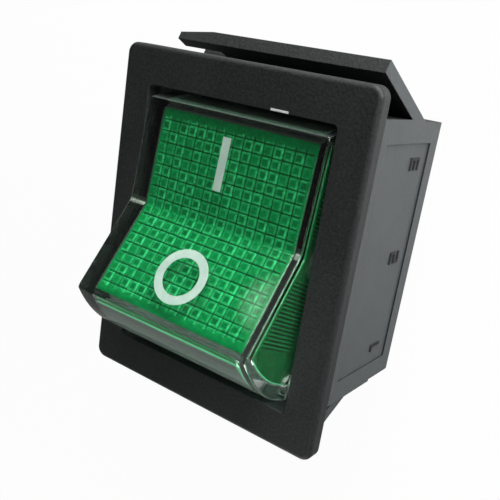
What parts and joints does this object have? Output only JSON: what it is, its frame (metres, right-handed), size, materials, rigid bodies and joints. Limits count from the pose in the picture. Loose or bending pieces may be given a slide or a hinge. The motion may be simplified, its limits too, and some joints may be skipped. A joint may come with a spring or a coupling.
{
  "type": "panel rocker switch",
  "caption": "Illuminated panel rocker switch: clear-capped green V-shaped rocker in a black snap-in housing with push-on tabs.",
  "frame": {"origin": "centre of the panel seat: the plane of the bezel's back face, on the axis of the body", "axes": "+Z out of the front of the panel, +Y along the rocker towards the I end, +X to the right seen from the front"},
  "size_m": [0.0254, 0.0344, 0.0319],
  "materials": {
    "housing_plastic": "fine spark-eroded, charcoal black",
    "cap_clear": "clear polished",
    "lens_green": "translucent green, cube-patterned top",
    "carrier_white": "smooth",
    "mark_ink": "hot-stamped white",
    "plunger_nylon": "natural nylon",
    "spring_steel": "bright spring wire",
    "bridge_copper": "stamped copper alloy",
    "contact_silver": "silver alloy",
    "terminal_brass": "stamped brass",
    "lamp_epoxy": "clear tinted epoxy",
    "resistor_body": "lacquered"
  },
  "bodies": {
    "base": {"housing": "housing_plastic", "common_terminal_left": "terminal_brass", "common_terminal_right": "terminal_brass", "load_terminal_left": "terminal_brass", "load_terminal_right": "terminal_brass", "fixed_contact_left": "contact_silver", "fixed_contact_right": "contact_silver", "lamp_spring_left": "spring_steel", "lamp_spring_right": "spring_steel", "lamp_strip_left": "terminal_brass", "lamp_strip_right": "terminal_brass", "resistor": "resistor_body", "resistor_leads": "spring_steel"},
    "rocker": {"rocker_cap": "cap_clear", "rocker_lens": "lens_green", "rocker_carrier": "carrier_white", "mark_on": "mark_ink", "mark_off": "mark_ink", "plunger_spring_left": "spring_steel", "plunger_spring_right": "spring_steel", "lamp": "lamp_epoxy", "lamp_leads": "spring_steel", "lamp_pad_left": "terminal_brass", "lamp_pad_right": "terminal_brass"},
    "plunger_left": {"plunger_left": "plunger_nylon"},
    "plunger_right": {"plunger_right": "plunger_nylon"},
    "seesaw_left": {"seesaw_left": "bridge_copper", "moving_contact_left": "contact_silver"},
    "seesaw_right": {"seesaw_right": "bridge_copper", "moving_contact_right": "contact_silver"}
  },
  "joints": [
    {"name": "rocker_pivot", "type": "hinge", "parent": "base", "child": "rocker", "pos_m": [0, 0, -0.0022], "axis": [1, 0, 0], "range_deg": [0, 42.5]},
    {"name": "seesaw_left_pivot", "type": "hinge", "parent": "base", "child": "seesaw_left", "pos_m": [-0.0048, 0, -0.0106], "axis": [1, 0, 0], "range_deg": [-20, 0]},
    {"name": "plunger_left_slide", "type": "slide", "parent": "rocker", "child": "plunger_left", "axis": [0, 0.3624, 0.932], "range_m": [0, 0.0006], "stiffness_N_per_m": 600, "springref_m": -0.003, "deforming": ["plunger_spring_left"]},
    {"name": "seesaw_right_pivot", "type": "hinge", "parent": "base", "child": "seesaw_right", "pos_m": [0.0048, 0, -0.0106], "axis": [1, 0, 0], "range_deg": [-20, 0]},
    {"name": "plunger_right_slide", "type": "slide", "parent": "rocker", "child": "plunger_right", "axis": [0, 0.3624, 0.932], "range_m": [0, 0.0006], "stiffness_N_per_m": 600, "springref_m": -0.003, "deforming": ["plunger_spring_right"]}
  ],
  "couplings": [
    {"joint": "seesaw_left_pivot", "follows": "rocker_pivot", "ratio": -0.47059},
    {"joint": "seesaw_right_pivot", "follows": "rocker_pivot", "ratio": -0.47059}
  ]
}
